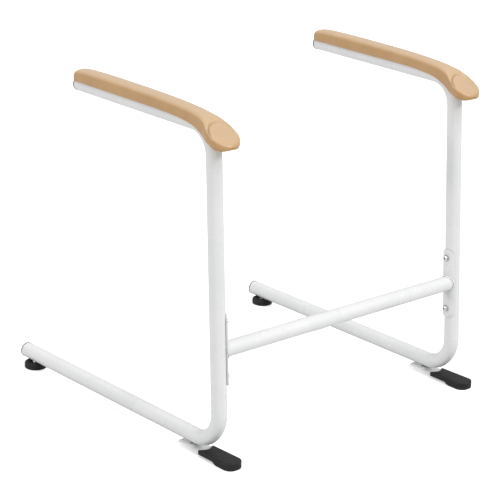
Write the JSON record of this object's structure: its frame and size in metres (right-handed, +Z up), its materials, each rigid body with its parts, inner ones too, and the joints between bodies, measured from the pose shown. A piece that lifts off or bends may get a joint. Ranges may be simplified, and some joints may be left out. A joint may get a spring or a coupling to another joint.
{
  "type": "toilet safety frame",
  "caption": "Free-standing support frame for a toilet: two bent side tubes with armrests and palm rests, joined by a low crossbar, on rubber feet.",
  "frame": {"origin": "on the floor, in the middle of the frame's width and depth", "axes": "+Z up; -Y is the front, where the posts, palm rests and rubber boots are; -X is the seated user's right"},
  "size_m": [0.655, 0.621, 0.6272],
  "materials": {
    "white_powder_coat": "gloss white powder coat on steel tube and plate",
    "tan_moulded_plastic": "smooth satin tan moulding",
    "black_rubber": "satin black moulded rubber",
    "zinc_steel": "bright zinc plated fasteners",
    "grey_cap_plastic": "dark grey moulded end caps"
  },
  "bodies": {
    "frame": {"crossbar": "white_powder_coat", "left_armrest": "tan_moulded_plastic", "left_base_end_cap": "grey_cap_plastic", "left_foot_bracket": "white_powder_coat", "left_front_armrest_screw": "zinc_steel", "left_front_foot": "black_rubber", "left_glide_rivet_nut": "zinc_steel", "left_lock_nut": "zinc_steel", "left_lower_saddle_rivet_nut": "zinc_steel", "left_lower_saddle_screw": "zinc_steel", "left_lower_saddle_washer": "zinc_steel", "left_rear_armrest_screw": "zinc_steel", "left_saddle": "white_powder_coat", "left_side_tube": "white_powder_coat", "left_top_end_cap": "grey_cap_plastic", "left_upper_saddle_rivet_nut": "zinc_steel", "left_upper_saddle_screw": "zinc_steel", "left_upper_saddle_washer": "zinc_steel", "right_armrest": "tan_moulded_plastic", "right_base_end_cap": "grey_cap_plastic", "right_foot_bracket": "white_powder_coat", "right_front_armrest_screw": "zinc_steel", "right_front_foot": "black_rubber", "right_glide_rivet_nut": "zinc_steel", "right_lock_nut": "zinc_steel", "right_lower_saddle_rivet_nut": "zinc_steel", "right_lower_saddle_screw": "zinc_steel", "right_lower_saddle_washer": "zinc_steel", "right_rear_armrest_screw": "zinc_steel", "right_saddle": "white_powder_coat", "right_side_tube": "white_powder_coat", "right_top_end_cap": "grey_cap_plastic", "right_upper_saddle_rivet_nut": "zinc_steel", "right_upper_saddle_screw": "zinc_steel", "right_upper_saddle_washer": "zinc_steel"},
    "right_glide": {"right_glide_pad": "black_rubber"},
    "right_stud": {"right_adjuster_stud": "zinc_steel"},
    "left_glide": {"left_glide_pad": "black_rubber"},
    "left_stud": {"left_adjuster_stud": "zinc_steel"}
  },
  "joints": [
    {"name": "right_glide_height", "type": "slide", "parent": "frame", "child": "right_glide", "axis": [0, 0, -1], "range_m": [0, 0.005]},
    {"name": "right_stud_spin", "type": "hinge", "parent": "right_glide", "child": "right_stud", "pos_m": [-0.298, 0.2815, 0], "axis": [0, 0, -1], "range_deg": [0, 1440]},
    {"name": "left_glide_height", "type": "slide", "parent": "frame", "child": "left_glide", "axis": [0, 0, -1], "range_m": [0, 0.005]},
    {"name": "left_stud_spin", "type": "hinge", "parent": "left_glide", "child": "left_stud", "pos_m": [0.298, 0.2815, 0], "axis": [0, 0, -1], "range_deg": [0, 1440]}
  ],
  "couplings": [
    {"joint": "right_stud_spin", "follows": "right_glide_height", "rad_per_m": 5026.5},
    {"joint": "left_stud_spin", "follows": "left_glide_height", "rad_per_m": 5026.5}
  ]
}
